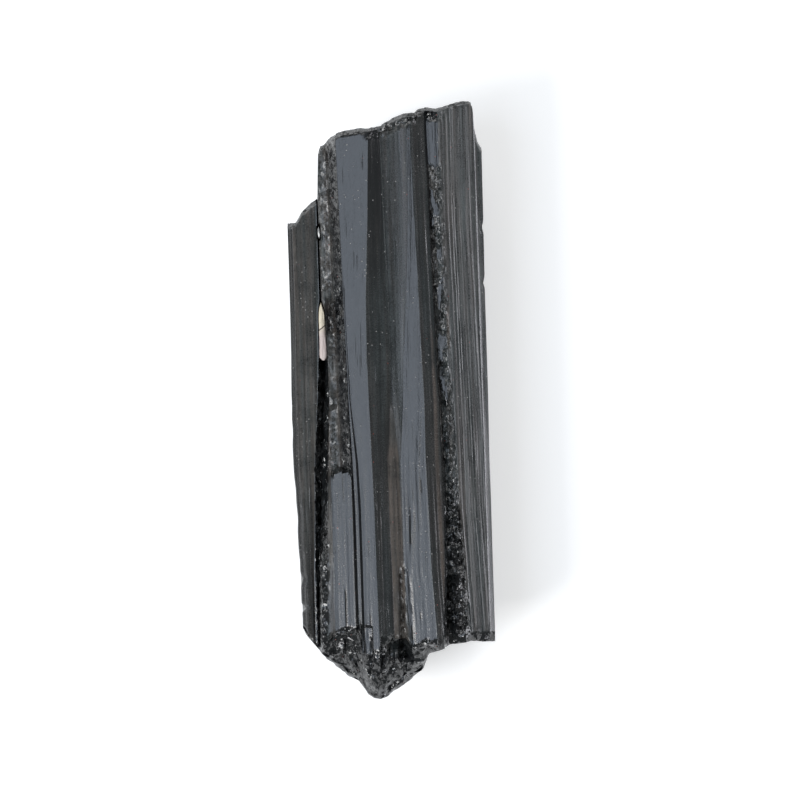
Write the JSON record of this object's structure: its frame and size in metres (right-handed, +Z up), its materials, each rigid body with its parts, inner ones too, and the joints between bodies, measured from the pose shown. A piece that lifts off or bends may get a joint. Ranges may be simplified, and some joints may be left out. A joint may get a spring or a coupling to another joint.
{
  "type": "tourmaline crystal",
  "caption": "Long striated black tourmaline prism with a thinner prism grown along one side, a broken head, a blunt rough tail and a feldspar sliver held in the seam.",
  "frame": {"origin": "middle of the bounding box, on the flat prism face that the crystal lies on", "axes": "+Z up out of the surface it lies on, +Y along the crystal's long axis towards its broken head, +X towards the main prism's outer side"},
  "size_m": [0.033, 0.0994, 0.024],
  "materials": {
    "schorl": "vitreous, striated along its length, sugary where broken",
    "feldspar": "dull cream to pale pink",
    "quartz": "milky white"
  },
  "bodies": {
    "root": {"tourmaline_crystal": "schorl", "feldspar_sliver": "feldspar", "quartz_chip": "quartz"}
  },
  "joints": []
}
